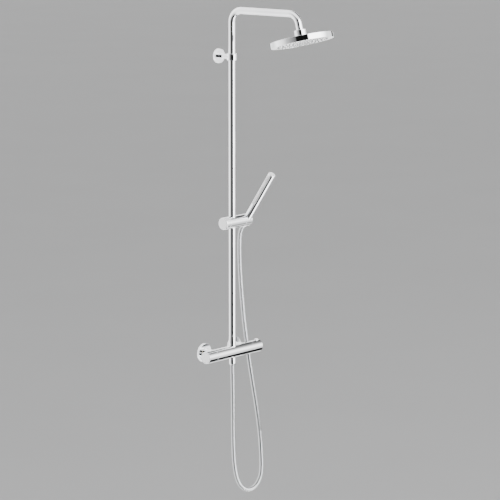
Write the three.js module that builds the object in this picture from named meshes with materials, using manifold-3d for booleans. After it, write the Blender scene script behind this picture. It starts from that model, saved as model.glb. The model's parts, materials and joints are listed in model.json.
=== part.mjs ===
// Wall-mounted thermostatic shower column: bar mixer, riser, overhead shower, slider and hand shower.
// Millimetres, +Z up. The origin is on the wall plane, midway between the two inlets, level with the
// bar's axis. +X runs along the bar towards the temperature handle, and -Y points into the room.
import * as THREE from 'three';
import { mergeVertices } from 'three/addons/utils/BufferGeometryUtils.js';
import Module from 'manifold-3d';

const wasm = await Module();
wasm.setup();

// ---- driving dimensions -------------------------------------------------------------------------
const GAP = 0.3; // air left between two solids that touch
const AXIS_Y = -62; // bar axis and riser axis, from the wall
const BAR_R = 20;
const BODY_HALF = 90; // half length of the fixed mixer body
const BAR_HALF = 133; // half length of the bar with its handles
const INLET_X = 75; // half of the 150 mm inlet pitch
const BORE_R = 14; // main bore of the mixer body
const PIPE_R = 11; // riser and arm
const PIPE_BORE = 9.65;
const CONNECTOR_TOP = 54;
const BRACKET_Z = 982;
const ARM_Z = 1134.5; // axis of the horizontal arm
const BEND_R = 40;
const ARM_REACH = 243.5; // riser axis to the start of the second bend
const ARM_DROP = 75; // degrees of the second bend
const HEAD_NUT_TOP = 20.6; // straight pipe between the second bend and the union nut
const HEAD_R = 101;
const HEAD_TOP = 25; // along the head's axis, from the top of its union nut
const HEAD_FACE = 43;
const BALL_R = 13;
const BALL_S = 16.5; // ball centre below the top of the union nut
const NOZZLE_RINGS = 5;
const NOZZLE_PITCH = 16;
const SLIDER_Z = 436;
const SLIDER_R = 20;
const HOLDER_X = 67.5; // where the hand shower crosses the holder
const HOLDER_Y = -3.5; // the same, in front of the slider's axis
const HAND_LEAN = 34.5; // degrees from upright, leaning into the room
const HAND_R = 12;
const HAND_FOOT = -14; // lower end of the hand shower's tube, along its own axis
const HAND_TIP = 199;
const STRIP_LOW = 69.5;
const STRIP_HIGH = 191.5;
const STRIP_HALF = 6.6; // half width of the spray window
const HOSE_R = 7;
const HOSE_STEPS = 62;
const HOSE_SIDES = 8;
const SIDES = 24; // facets round the large turned pieces
const FINE = 16; // facets round the small ones

const CHROME = [0xdfe2e4, 1.0, 0.08];
const BRASS = [0xc9a45c, 1.0, 0.35];
const STEEL = [0xb4b8bb, 1.0, 0.3];
const COPPER_WAX = [0xb87a4b, 1.0, 0.3];
const CERAMIC = [0xf1efe8, 0.0, 0.25];
const SILICONE = [0xc9cccd, 0.0, 0.5];
const PLASTIC = [0xe9e8e2, 0.0, 0.45];
const HOSE_METAL = [0xc9ccce, 1.0, 0.22];

// ---- making closed solids -----------------------------------------------------------------------
// Shared vertices are merged, collapsed triangles dropped and all faces turned outwards.
function closed(geometry) {
  geometry.deleteAttribute('normal');
  geometry.deleteAttribute('uv');
  const merged = mergeVertices(geometry, 1e-4);
  const index = merged.index.array;
  const place = merged.attributes.position;
  const kept = [];
  let volume = 0;
  const [a, b, c] = [new THREE.Vector3(), new THREE.Vector3(), new THREE.Vector3()];
  for (let i = 0; i < index.length; i += 3) {
    const [i0, i1, i2] = [index[i], index[i + 1], index[i + 2]];
    if (i0 === i1 || i1 === i2 || i2 === i0) continue;
    kept.push([i0, i1, i2]);
    a.fromBufferAttribute(place, i0);
    b.fromBufferAttribute(place, i1);
    c.fromBufferAttribute(place, i2);
    volume += a.dot(b.cross(c));
  }
  const faces = volume < 0 ? kept.map(([i0, i1, i2]) => [i0, i2, i1]) : kept;
  merged.setIndex(faces.flat());
  return merged;
}

function toManifold(geometry) {
  const vertProperties = new Float32Array(geometry.attributes.position.array);
  const triVerts = new Uint32Array(geometry.index.array);
  return new wasm.Manifold(new wasm.Mesh({ numProp: 3, vertProperties, triVerts }));
}

function fromManifold(manifold) {
  const mesh = manifold.getMesh();
  const geometry = new THREE.BufferGeometry();
  geometry.setAttribute('position', new THREE.BufferAttribute(new Float32Array(mesh.vertProperties), 3));
  geometry.setIndex(Array.from(mesh.triVerts));
  return geometry;
}

function cut(geometry, ...tools) {
  return fromManifold(tools.reduce((left, tool) => left.subtract(toManifold(tool)), toManifold(geometry)));
}

function join(geometry, ...others) {
  return fromManifold(others.reduce((sum, other) => sum.add(toManifold(other)), toManifold(geometry)));
}

function common(geometry, other) {
  return fromManifold(toManifold(geometry).intersect(toManifold(other)));
}

// A piece turned about axis 'x', 'y' or 'z'. Each profile point is [place along the axis, radius].
// A profile that doesn't start and end on the axis closes on itself, which leaves a bore.
function turned(axis, profile, sides = FINE) {
  const points = profile.map(([along, radius]) => new THREE.Vector2(radius, along));
  if (points[0].x > 0 || points.at(-1).x > 0) points.push(points[0].clone());
  const geometry = new THREE.LatheGeometry(points, sides);
  if (axis === 'x') geometry.rotateZ(-Math.PI / 2);
  if (axis === 'z') geometry.rotateX(Math.PI / 2);
  return closed(geometry);
}

function rod(axis, from, to, radius, sides = FINE) {
  return turned(axis, [[from, 0], [from, radius], [to, radius], [to, 0]], sides);
}

function ring(axis, from, to, inner, outer, sides = FINE) {
  return turned(axis, [[from, inner], [from, outer], [to, outer], [to, inner]], sides);
}

function box(from, to) {
  const size = to.map((value, i) => value - from[i]);
  const geometry = new THREE.BoxGeometry(...size);
  geometry.translate(...from.map((value, i) => value + size[i] / 2));
  return closed(geometry);
}

const mirrored = (profile, side) => profile.map(([along, radius]) => [along * side, radius]);

// A tube that follows listed stations exactly, one extrusion step between each two of them.
class Stations extends THREE.Curve {
  constructor(points) {
    super();
    this.points = points;
  }

  getPoint(t, target = new THREE.Vector3()) {
    const place = t * (this.points.length - 1);
    const i = Math.min(Math.floor(place), this.points.length - 2);
    return target.lerpVectors(this.points[i], this.points[i + 1], place - i);
  }

  getPointAt(u, target) {
    return this.getPoint(u, target);
  }

  getTangentAt(u, target = new THREE.Vector3()) {
    const i = Math.round(u * (this.points.length - 1));
    const before = this.points[Math.max(i - 1, 0)];
    const after = this.points[Math.min(i + 1, this.points.length - 1)];
    return target.subVectors(after, before).normalize();
  }
}

function circle(radius, sides) {
  const points = [];
  for (let i = 0; i < sides; i += 1) {
    const angle = (2 * Math.PI * i) / sides;
    points.push(new THREE.Vector2(radius * Math.cos(angle), radius * Math.sin(angle)));
  }
  return points;
}

function swept(path, steps, outer, inner, sides) {
  const section = new THREE.Shape(circle(outer, sides));
  if (inner > 0) section.holes.push(new THREE.Path(circle(inner, sides)));
  return closed(new THREE.ExtrudeGeometry(section, { steps, extrudePath: path, bevelEnabled: false }));
}

// ---- the assembly -------------------------------------------------------------------------------
const column = new THREE.Group();

function frameAt(x, y, z, leanDegrees = 0) {
  const group = new THREE.Group();
  group.position.set(x, y, z);
  group.rotation.x = THREE.MathUtils.degToRad(leanDegrees);
  column.add(group);
  return group;
}

function add(group, name, geometry, finish) {
  const [color, metalness, roughness] = finish;
  const material = new THREE.MeshStandardMaterial({ color, metalness, roughness });
  const mesh = new THREE.Mesh(geometry, material);
  mesh.name = name;
  group.add(mesh);
}

// Each inlet: a union in the wall, its cover rosette, the mixer's inlet tail with its non-return
// valve, and the union nut that draws them together.
function addInlet(side, name) {
  const inlet = frameAt(side * INLET_X, 0, 0);
  const union = [[18, 7], [18, 10.2], [-1, 10.2], [-1, 14.5], [-6, 14.5], [-6, 13], [-18, 13], [-18, 7]];
  add(inlet, `wall_union_${name}`, turned('y', union), BRASS);
  const rosette = [[0, 29], [0, 31], [-7.2, 31], [-8, 30.2], [-8, 13.5], [-6.5, 13.5], [-6.5, 29]];
  add(inlet, `inlet_rosette_${name}`, turned('y', rosette, SIDES), CHROME);
  const tail = [[-18.4, 7.5], [-18.4, 12.9], [-24, 12.9], [-24, 11], [-46.2, 11], [-46.2, 7.5]];
  add(inlet, `inlet_tail_${name}`, turned('y', tail), CHROME);
  add(inlet, `check_valve_${name}`, ring('y', -25, -42, 4, 7.2), PLASTIC);
  const nut = [
    [-9.5, 13.3], [-9.5, 14.9], [-10.1, 15.5], [-37.4, 15.5], [-38, 14.9], [-38, 11.3], [-24.3, 11.3], [-24.3, 13.3],
  ];
  add(inlet, `inlet_nut_${name}`, turned('y', nut), CHROME);
}
addInlet(-1, 'left');
addInlet(1, 'right');

// The mixer body: one main bore for both cartridges, with ports up, down and back.
const bar = frameAt(0, AXIS_Y, 0);
const bodyProfile = [
  [-BODY_HALF, 15.6], [-BODY_HALF, BAR_R], [BODY_HALF, BAR_R], [BODY_HALF, 15.6],
  [80, 15.6], [80, BORE_R], [-80, BORE_R], [-80, 15.6],
];
const backPorts = [-1, 1].map((side) => rod('y', 0, 30, 11.3).translate(side * INLET_X, 0, 0));
const body = cut(turned('x', bodyProfile, SIDES), rod('z', 0, 30, 8.1), rod('z', -30, 0, 7), ...backPorts);
add(bar, 'mixer_body', body, CHROME);

// What both ends of the bar share: cartridge with its screwed flange, handle, handle screw and cap.
const handleProfile = [
  [90.4, 17.5], [90.4, BAR_R], [BAR_HALF - 0.7, BAR_R], [BAR_HALF, 19.3], [BAR_HALF, 18.5], [130.2, 18.5],
  [130.2, 5], [124, 5], [124, 2.6], [110, 2.6], [110, 4.1], [97, 4.1], [97, 7.5], [110, 7.5], [110, 17.5],
];
const capProfile = [[130.5, 0], [130.5, 18.2], [132.7, 18.2], [BAR_HALF, 17.9], [BAR_HALF, 0]];
const cartridgeProfile = [
  [22, 9], [22, 13.6], [80.4, 13.6], [80.4, 15.2], [89.7, 15.2], [89.7, 4.4], [72, 4.4], [72, 9],
];
const screwProfile = [[99, 0], [99, 2.2], [124.3, 2.2], [124.3, 4.5], [128.5, 4.5], [128.5, 0]];
const BUTTON_X = 121.5;

function addBarEnd(side, purpose, cartridgeName) {
  add(bar, cartridgeName, turned('x', mirrored(cartridgeProfile, side)), PLASTIC);
  let handle = turned('x', mirrored(handleProfile, side), SIDES);
  if (purpose === 'temperature') handle = cut(handle, rod('z', 6, 30, 5.8).translate(BUTTON_X, 0, 0));
  add(bar, `${purpose}_handle`, handle, CHROME);
  add(bar, `${purpose}_handle_screw`, turned('x', mirrored(screwProfile, side), 8), STEEL);
  add(bar, `${purpose}_cap`, turned('x', mirrored(capProfile, side), SIDES), CHROME);
}
addBarEnd(1, 'temperature', 'thermostatic_cartridge');
addBarEnd(-1, 'diverter', 'diverter_cartridge');

// Inside the thermostatic cartridge: the wax element, its return spring and the driving spindle.
add(bar, 'wax_element', turned('x', [[27, 0], [27, 5], [50, 5], [50, 2], [59.8, 2], [59.8, 0]]), COPPER_WAX);
const spindleEnd = [[109.6, 3.8], [109.6, 2.5], [98, 2.5], [98, 0]];
add(bar, 'temperature_spindle', turned('x', [[60.5, 0], [60.5, 3.8], ...spindleEnd], 12), BRASS);

// A compression spring along 'axis', from and to being its outside ends.
function spring(axis, from, to, radius, wire, turns, perTurn = 10) {
  const points = [];
  const steps = turns * perTurn;
  for (let i = 0; i <= steps; i += 1) {
    const angle = (2 * Math.PI * i) / perTurn;
    const along = from + wire + ((to - from - 2 * wire) * i) / steps;
    const [p, q] = [radius * Math.cos(angle), radius * Math.sin(angle)];
    points.push(axis === 'x' ? new THREE.Vector3(along, p, q) : new THREE.Vector3(p, q, along));
  }
  return swept(new Stations(points), steps, wire, 0, 5);
}
add(bar, 'thermostat_spring', spring('x', 28, 56, 7, 0.7, 5), STEEL);

// The safety button in the temperature handle, on its own spring.
const button = frameAt(BUTTON_X, AXIS_Y, 0);
const buttonProfile = [[12, 0], [12, 5.5], [23.2, 5.5], [23.8, 4.9], [23.8, 0]];
add(button, 'safety_button', turned('z', buttonProfile), CHROME);
add(button, 'safety_button_spring', spring('z', 6.4, 11.6, 3.6, 0.4, 3), STEEL);

// Inside the diverter cartridge: two ceramic discs, the outer one turned by the spindle.
const discCut = box([-40, -20, -20], [-20, 20, -3]);
add(bar, 'diverter_fixed_disc', ring('x', -24, -28, 3, 8.7), CERAMIC);
add(bar, 'diverter_moving_disc', cut(rod('x', -28.3, -32.3, 8.7), discCut), CERAMIC);
const diverterSpindle = [[32.6, 0], [32.6, 8.4], [36, 8.4], [36, 3.8], ...spindleEnd];
add(bar, 'diverter_spindle', turned('x', mirrored(diverterSpindle, -1), 12), BRASS);

// Hand-shower outlet under the body: nipple and the hose's lower nut.
const outletTop = -14.6;
const nipple = join(
  cut(ring('z', -10, -33.2, 4.8, 8.6), rod('x', -20, 20, BAR_R + GAP, SIDES)),
  ring('z', outletTop, -24, 4.8, 6.7),
);
add(bar, 'outlet_nipple', nipple, BRASS);
const lowerNut = [
  [-20.8, 9], [-20.8, 9.9], [-21.4, 10.5], [-40, 10.5], [-44.3, 8.4], [-44.3, 5], [-33.6, 5], [-33.6, 9],
];
add(bar, 'hose_nut_lower', cut(turned('z', lowerNut), rod('x', -20, 20, BAR_R + GAP, SIDES)), CHROME);

// Riser: a connector saddled on the bar, the lower pipe, a hidden coupler and the bent upper pipe.
const connectorProfile = [
  [10, 5.5], [10, 11.3], [CONNECTOR_TOP, 11.3], [CONNECTOR_TOP, 9.3], [78, 9.3], [78, 5.5],
];
const connector = join(
  cut(turned('z', connectorProfile), rod('x', -20, 20, BAR_R + GAP, SIDES)),
  ring('z', 14.6, 24, 5.5, 7.8),
);
add(bar, 'riser_connector', connector, CHROME);
add(bar, 'riser_pipe', ring('z', CONNECTOR_TOP + 0.4, BRACKET_Z - 0.2, PIPE_BORE, PIPE_R), CHROME);
add(bar, 'riser_coupler', ring('z', BRACKET_Z - 30, BRACKET_Z + 30, 7.4, 9.35), BRASS);

const dropAngle = THREE.MathUtils.degToRad(ARM_DROP);
const lean = new THREE.Vector3(0, -Math.cos(dropAngle), -Math.sin(dropAngle));
const armStations = [new THREE.Vector3(0, 0, BRACKET_Z + 0.2)];
const BEND_STEPS = 7;
for (let i = 0; i <= BEND_STEPS; i += 1) {
  const turn = (i / BEND_STEPS) * (Math.PI / 2);
  const [y, z] = [-BEND_R * (1 - Math.cos(turn)), ARM_Z - BEND_R * (1 - Math.sin(turn))];
  armStations.push(new THREE.Vector3(0, y, z));
}
for (let i = 0; i <= BEND_STEPS; i += 1) {
  const turn = (i / BEND_STEPS) * dropAngle;
  const [y, z] = [-ARM_REACH - BEND_R * Math.sin(turn), ARM_Z - BEND_R * (1 - Math.cos(turn))];
  armStations.push(new THREE.Vector3(0, y, z));
}
const nutTop = armStations.at(-1).clone().addScaledVector(lean, HEAD_NUT_TOP);
armStations.push(nutTop.clone().addScaledVector(lean, 1.9));
const armPath = new Stations(armStations);
add(bar, 'shower_arm', swept(armPath, armStations.length - 1, PIPE_R, PIPE_BORE, FINE), CHROME);

// Wall bracket: base, screw and plug, cover rosette, rod, and a collar with its bush.
const bracket = frameAt(0, 0, BRACKET_Z);
const baseProfile = [[0, 2.8], [0, 20.5], [-4, 20.5], [-4, 6], [-14, 6], [-14, 4.6], [-10.5, 4.6], [-10.5, 2.8]];
add(bracket, 'bracket_base', turned('y', baseProfile), STEEL);
const bracketScrew = [[-13.7, 0], [-13.7, 4.2], [-10.8, 4.2], [-10.8, 2.1], [20, 2.1], [22.5, 0]];
add(bracket, 'bracket_screw', turned('y', bracketScrew, 10), STEEL);
const plug = [[25, 0], [25, 3.5], [0.5, 3.5], [0.5, 2.5], [23.5, 2.5], [23.5, 0]];
add(bracket, 'wall_plug', turned('y', plug, 10), PLASTIC);
const coverProfile = [[0, 21.5], [0, 23.5], [-10.2, 23.5], [-11, 22.7], [-11, 8.4], [-9.5, 8.4], [-9.5, 21.5]];
add(bracket, 'bracket_rosette', turned('y', coverProfile, SIDES), CHROME);
const COLLAR_R = 16;
const riserCut = rod('z', -30, 30, COLLAR_R + GAP, SIDES).translate(0, AXIS_Y, 0);
const rodProfile = [[-17, 0], [-17, 6.3], [-4.4, 6.3], [-4.4, 8], [-55, 8], [-55, 0]];
const rodTip = rod('y', -40, AXIS_Y + 13.1, 4);
add(bracket, 'bracket_rod', join(cut(turned('y', rodProfile), riserCut), rodTip), CHROME);

const collar = frameAt(0, AXIS_Y, BRACKET_Z);
const collarProfile = [
  [-11, 13], [-11, 15.5], [-10.5, COLLAR_R], [10.5, COLLAR_R], [11, 15.5], [11, 13],
];
add(collar, 'bracket_collar', cut(turned('z', collarProfile, SIDES), rod('y', 10, 20, 4.3)), CHROME);
add(collar, 'collar_bush', ring('z', -10, 10, PIPE_R + GAP, 12.7, SIDES), PLASTIC);

// Overhead shower, in a frame at the top of its union nut whose -Z runs down the leaning pipe.
const headLean = ARM_DROP - 90;
const head = frameAt(0, AXIS_Y + nutTop.y, nutTop.z, headLean);
const down = (profile) => profile.map(([s, radius]) => [-s, radius]);
const onBall = (s, gap) => Math.sqrt((BALL_R + gap) ** 2 - (s - BALL_S) ** 2);

add(head, 'arm_end_bush', turned('z', down([[-16, 6.8], [-16, 9.35], [1.6, 9.35], [1.6, 6.8]])), BRASS);
const ballProfile = [[-12, 4], [-12, 6.5], [5.2, 6.5]];
for (const s of [6.5, 9, 12, 15, 18, 21, 24, 26.5]) ballProfile.push([s, onBall(s, 0)]);
ballProfile.push([28.8, 4]);
add(head, 'ball_stem', turned('z', down(ballProfile)), CHROME);

const nutProfile = [[0, 15.2], [0, 18.9], [0.6, 19.5], [HEAD_TOP - 0.3, 19.5], [HEAD_TOP - 0.3, 17.2], [17, 17.2]];
for (const s of [17, 14, 11.5, 9, 7.2]) nutProfile.push([s, onBall(s, 0.4)]);
nutProfile.push([5.6, 9.6], [4.8, 15.2]);
add(head, 'head_union_nut', turned('z', down(nutProfile), SIDES), CHROME);

const seatProfile = [[19, 13.9], [30, 13.9], [30, 6]];
for (const s of [27, 24.5, 22, 19]) seatProfile.push([s, onBall(s, 0.4)]);
add(head, 'ball_seat', turned('z', down(seatProfile), SIDES), PLASTIC);
add(head, 'flow_regulator', ring('z', -30.4, -33.4, 3, 13.8), PLASTIC);

const HEAD_SIDES = 48;
const shellProfile = [
  [17.6, 14.2], [17.6, 16.9], [HEAD_TOP, 16.9], [HEAD_TOP, HEAD_R - 0.5], [HEAD_TOP + 0.5, HEAD_R],
  [HEAD_FACE, HEAD_R], [HEAD_FACE, HEAD_R - 1.5], [26.6, HEAD_R - 1.5],
  [26.6, 16.9], [33.8, 16.9], [33.8, 14.2],
];
add(head, 'head_shell', turned('z', down(shellProfile), HEAD_SIDES), CHROME);

// The spray face: rings of nozzle holes in the plate, and the silicone mat that lies behind it.
function sprayPlate(top, bottom, radius, holeRadius) {
  const disc = new THREE.Shape(circle(radius, HEAD_SIDES));
  for (let k = 0; k <= NOZZLE_RINGS; k += 1) {
    const count = Math.max(1, 6 * k);
    for (let i = 0; i < count; i += 1) {
      const angle = (2 * Math.PI * i) / count;
      const centre = new THREE.Vector2(Math.cos(angle), Math.sin(angle)).multiplyScalar(k * NOZZLE_PITCH);
      disc.holes.push(new THREE.Path(circle(holeRadius, 6).map((point) => point.add(centre))));
    }
  }
  const plate = new THREE.ExtrudeGeometry(disc, { depth: bottom - top, bevelEnabled: false });
  return closed(plate.translate(0, 0, -bottom));
}
add(head, 'nozzle_mat', ring('z', -39.2, -41.1, 6, HEAD_R - 4, HEAD_SIDES), SILICONE);
add(head, 'spray_plate', sprayPlate(41.4, HEAD_FACE - 0.2, HEAD_R - 1.9, 1.8), CHROME);

// Slider: body and bush on the riser, tilting holder on the right, and on the left a locking knob
// whose stud bears on the riser.
const slider = frameAt(0, AXIS_Y, SLIDER_Z);
const sliderProfile = [[-28, 0], [-28, 19.6], [-27.6, SLIDER_R], [49.6, SLIDER_R], [50, 19.6], [50, 0]];
const sliderBody = cut(
  turned('x', sliderProfile, SIDES),
  rod('z', -30, 30, 13.5), rod('x', -30, 0, 4.3), rod('x', 0, 21.8, 5.4), rod('x', 20, 28, 2.6),
  rod('x', 27, 60, 6.3),
);
add(slider, 'slider_body', sliderBody, CHROME);
add(slider, 'slider_bush', cut(ring('z', -14, 14, PIPE_R + GAP, 13.2), rod('x', -20, 0, 4.3)), PLASTIC);
const knobProfile = [
  [-46, 0], [-46, 19.2], [-45.2, SLIDER_R], [-28.8, SLIDER_R], [-28.4, 19.6], [-28.4, 4], [-11.5, 4], [-11.5, 0],
];
add(slider, 'slider_knob', turned('x', knobProfile, SIDES), CHROME);
const pivotScrew = [[18, 0], [18, 5], [21.5, 5], [21.5, 2.2], [44, 2.2], [44, 0]];
add(slider, 'holder_pivot_screw', turned('x', pivotScrew, 12), STEEL);

// The hand shower's own frame: +Z runs up its tube from the point where it crosses the holder.
const hand = frameAt(HOLDER_X, AXIS_Y + HOLDER_Y, SLIDER_Z, HAND_LEAN);
const seatCutters = [
  rod('z', HAND_FOOT - GAP, 60, HAND_R + 0.35, SIDES),
  rod('z', -60, HAND_FOOT, 10.8, SIDES),
  box([0, -8, -60], [30, 8, 60]),
];
for (const cutter of seatCutters) {
  cutter.rotateX(THREE.MathUtils.degToRad(HAND_LEAN));
  cutter.translate(HOLDER_X, HOLDER_Y, 0);
}
const holderProfile = [[50.4, 0], [50.4, 19.6], [50.8, SLIDER_R], [80.7, SLIDER_R], [81.5, 19.2], [81.5, 0]];
const holderSolid = join(turned('x', holderProfile, SIDES), rod('x', 27.4, 52, 6));
add(slider, 'hand_shower_holder', cut(holderSolid, rod('x', 20, 46, 2.5, 12), ...seatCutters), CHROME);

// Hand shower: a tube with a spray window along its left side, the spray strip in it, an inner
// water duct, the threaded nipple at the foot, and the hose's swivel nut.
const tubeProfile = [
  [HAND_TIP, 0], [HAND_TIP - 0.4, 7.5], [HAND_TIP - 1.6, 10.8], [HAND_TIP - 3.6, HAND_R], [HAND_FOOT, HAND_R],
  [HAND_FOOT, 10.3], [194, 10.3], [194, 0],
];
const spraySlot = box([-15, -STRIP_HALF, STRIP_LOW], [-5, STRIP_HALF, STRIP_HIGH]);
add(hand, 'hand_shower_tube', cut(turned('z', tubeProfile, SIDES), spraySlot), CHROME);
const stripBlock = box([-15, GAP - STRIP_HALF, STRIP_LOW + GAP], [-8, STRIP_HALF - GAP, STRIP_HIGH - GAP]);
add(hand, 'spray_strip', common(rod('z', STRIP_LOW, STRIP_HIGH, HAND_R, SIDES), stripBlock), SILICONE);
add(hand, 'water_duct', ring('z', -9, 190, 6, 7.3), PLASTIC);
const nippleProfile = [[-26, 5.5], [-26, 8.7], [-13.7, 8.7], [-13.7, 10], [-9.4, 10], [-9.4, 5.5]];
add(hand, 'hand_shower_nipple', turned('z', nippleProfile), BRASS);
const upperNut = [[-14.4, 9], [-14.4, 10.2], [-22, 10.2], [-28, 8.4], [-28, 5], [-26.4, 5], [-26.4, 9]];
add(hand, 'hose_nut_upper', turned('z', upperNut), CHROME);

// The hose: out of the upper nut, down behind the bar, round a free loop and up into the lower nut.
const hoseRoute = [
  [67.5, -49.5, 412.7], [67.5, -46.7, 408.6], [67.5, -40.0, 395.2], [67.6, -36.6, 379.5], [67.9, -34.8, 352],
  [70.7, -32.9, 296], [75.5, -31.9, 246], [81.5, -31.0, 194], [88.5, -30.3, 141], [96.5, -29.7, 88],
  [106, -29.3, 36], [115.8, -29.2, -16], [125.2, -29.6, -66], [134.8, -31.4, -118], [142.8, -35.2, -170],
  [148.4, -40.8, -222], [151, -47.8, -274], [150.8, -54.8, -322], [149.2, -60.5, -374], [146.4, -64.5, -421],
  [139.4, -66.8, -451], [120.3, -69, -475.6], [92.6, -70.6, -487.8], [62.2, -71.4, -485.6], [35.8, -71.2, -469.6],
  [17.6, -70.4, -444], [7.6, -69, -412], [3.0, -67, -374], [1.8, -65, -328], [2.2, -63.5, -266],
  [2.8, -62.5, -200], [2.4, -62, -140], [1.0, -62, -90], [0, -62, -58], [0, -62, -44.6],
].map((point) => new THREE.Vector3(...point));
const hosePath = new THREE.CatmullRomCurve3(hoseRoute, false, 'centripetal');
const hoseFrame = frameAt(0, 0, 0);
add(hoseFrame, 'shower_hose', swept(hosePath, HOSE_STEPS, HOSE_R, 0, HOSE_SIDES), HOSE_METAL);

export default column;
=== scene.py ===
"""The looks of a wall-mounted thermostatic shower column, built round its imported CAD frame.

Outlines are in millimetres, in the CAD frame: +X along the bar, -Y into the room, +Z up. Every finished
mesh is scaled to metres. Turned pieces are lathes with rounded edges, pipes are swept, and the hose is
a helical metal sheath on the CAD route.
"""
import json
import math

import bpy
import bmesh
import numpy as np
from mathutils import Matrix, Vector


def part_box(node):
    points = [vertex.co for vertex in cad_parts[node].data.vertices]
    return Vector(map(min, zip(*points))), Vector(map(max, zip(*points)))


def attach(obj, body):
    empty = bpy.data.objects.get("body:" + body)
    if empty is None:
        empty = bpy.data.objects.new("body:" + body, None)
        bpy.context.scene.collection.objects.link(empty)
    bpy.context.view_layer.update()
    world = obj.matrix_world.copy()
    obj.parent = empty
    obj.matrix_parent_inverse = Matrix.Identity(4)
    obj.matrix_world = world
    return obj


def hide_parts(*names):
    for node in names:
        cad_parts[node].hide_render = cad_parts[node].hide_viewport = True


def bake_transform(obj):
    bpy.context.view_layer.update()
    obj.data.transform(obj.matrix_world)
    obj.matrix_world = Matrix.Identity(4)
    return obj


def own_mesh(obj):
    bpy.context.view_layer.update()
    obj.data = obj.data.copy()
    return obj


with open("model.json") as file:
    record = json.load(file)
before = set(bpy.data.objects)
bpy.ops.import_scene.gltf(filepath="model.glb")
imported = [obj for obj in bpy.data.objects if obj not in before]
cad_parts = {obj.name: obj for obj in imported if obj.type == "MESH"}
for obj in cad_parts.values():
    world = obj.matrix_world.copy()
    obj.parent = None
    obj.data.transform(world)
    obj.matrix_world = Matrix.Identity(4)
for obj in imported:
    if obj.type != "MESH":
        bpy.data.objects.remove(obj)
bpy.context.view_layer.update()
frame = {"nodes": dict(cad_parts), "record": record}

MM = 0.001


def corners_mm(node):
    """The lowest and highest corner of a CAD node, in millimetres."""
    low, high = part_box(node)
    return low / MM, high / MM


# ---- sizes taken from the frame -------------------------------------------------------------------
body_low, body_high = corners_mm("mixer_body")
handle_high = corners_mm("temperature_handle")[1]
slider_low, slider_high = corners_mm("slider_body")
holder_high = corners_mm("hand_shower_holder")[1]
riser_low, riser_high = corners_mm("riser_pipe")
rosette_low, rosette_high = corners_mm("inlet_rosette_right")
collar_low, collar_high = corners_mm("bracket_collar")
cover_low, cover_high = corners_mm("bracket_rosette")

BAR_R = (body_high.z - body_low.z) / 2
BODY_HALF = body_high.x
BAR_HALF = handle_high.x
AXIS_Y = (body_low.y + body_high.y) / 2
INLET_X = (rosette_low.x + rosette_high.x) / 2
INLET_R = (rosette_high.z - rosette_low.z) / 2
PIPE_R = (riser_high.x - riser_low.x) / 2
CONNECTOR_TOP = riser_low.z - 0.4
SLIDER_Z = (slider_low.z + slider_high.z) / 2
SLIDER_R = (slider_high.z - slider_low.z) / 2
HOLDER_END = holder_high.x
BRACKET_Z = (collar_low.z + collar_high.z) / 2
COLLAR_R = (collar_high.x - collar_low.x) / 2
COVER_R = (cover_high.x - cover_low.x) / 2

# ---- driving sizes shared with the CAD source ------------------------------------------------------
ARM_Z = 1134.5
BEND_R = 40.0
ARM_REACH = 243.5
ARM_DROP = math.radians(75)
HEAD_NUT_TOP = 20.6
HEAD_R = 101.0
HEAD_TOP = 25.0
HEAD_FACE = 43.0
HAND_LEAN = 34.5
HAND_R = 12.0
HAND_FOOT = -14.0
HAND_TIP = 199.0
HOLDER_X = 67.5
HOLDER_Y = AXIS_Y - 3.5
STRIP_LOW = 69.5
STRIP_HIGH = 191.5
STRIP_ANGLE = math.radians(32.6)
BUTTON_X = 121.5
HOSE_R = 7.0

# ---- how fine the meshes are -----------------------------------------------------------------------
LATHE_SIDES = 112
BAR_SIDES = 160
HEAD_SIDES = 192
FILLET_STEPS = 5
FILLET_EDGE_SHARE = 0.45
GUARD_SHARE = 0.4
GUARD_MOST = 0.35
SHARP = math.radians(32)


# ---- camera ----------------------------------------------------------------------------------------
def make_camera():
    camera = bpy.data.objects.new("camera", bpy.data.cameras.new("camera"))
    bpy.context.scene.collection.objects.link(camera)
    camera.data.lens = 173.04
    camera.data.sensor_width = 36
    camera.data.clip_end = 300
    target = Vector((0.08976, -0.062, 0.33107))
    azimuth, pitch, distance = math.radians(-49.08), math.radians(9.92), 8.0115
    away = Vector((
        math.sin(azimuth) * math.cos(pitch), -math.cos(azimuth) * math.cos(pitch), math.sin(pitch),
    ))
    camera.location = target + away * distance
    camera.rotation_euler = (-away).to_track_quat("-Z", "Y").to_euler()
    bpy.context.scene.camera = camera
    return away


towards_camera = make_camera()


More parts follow.
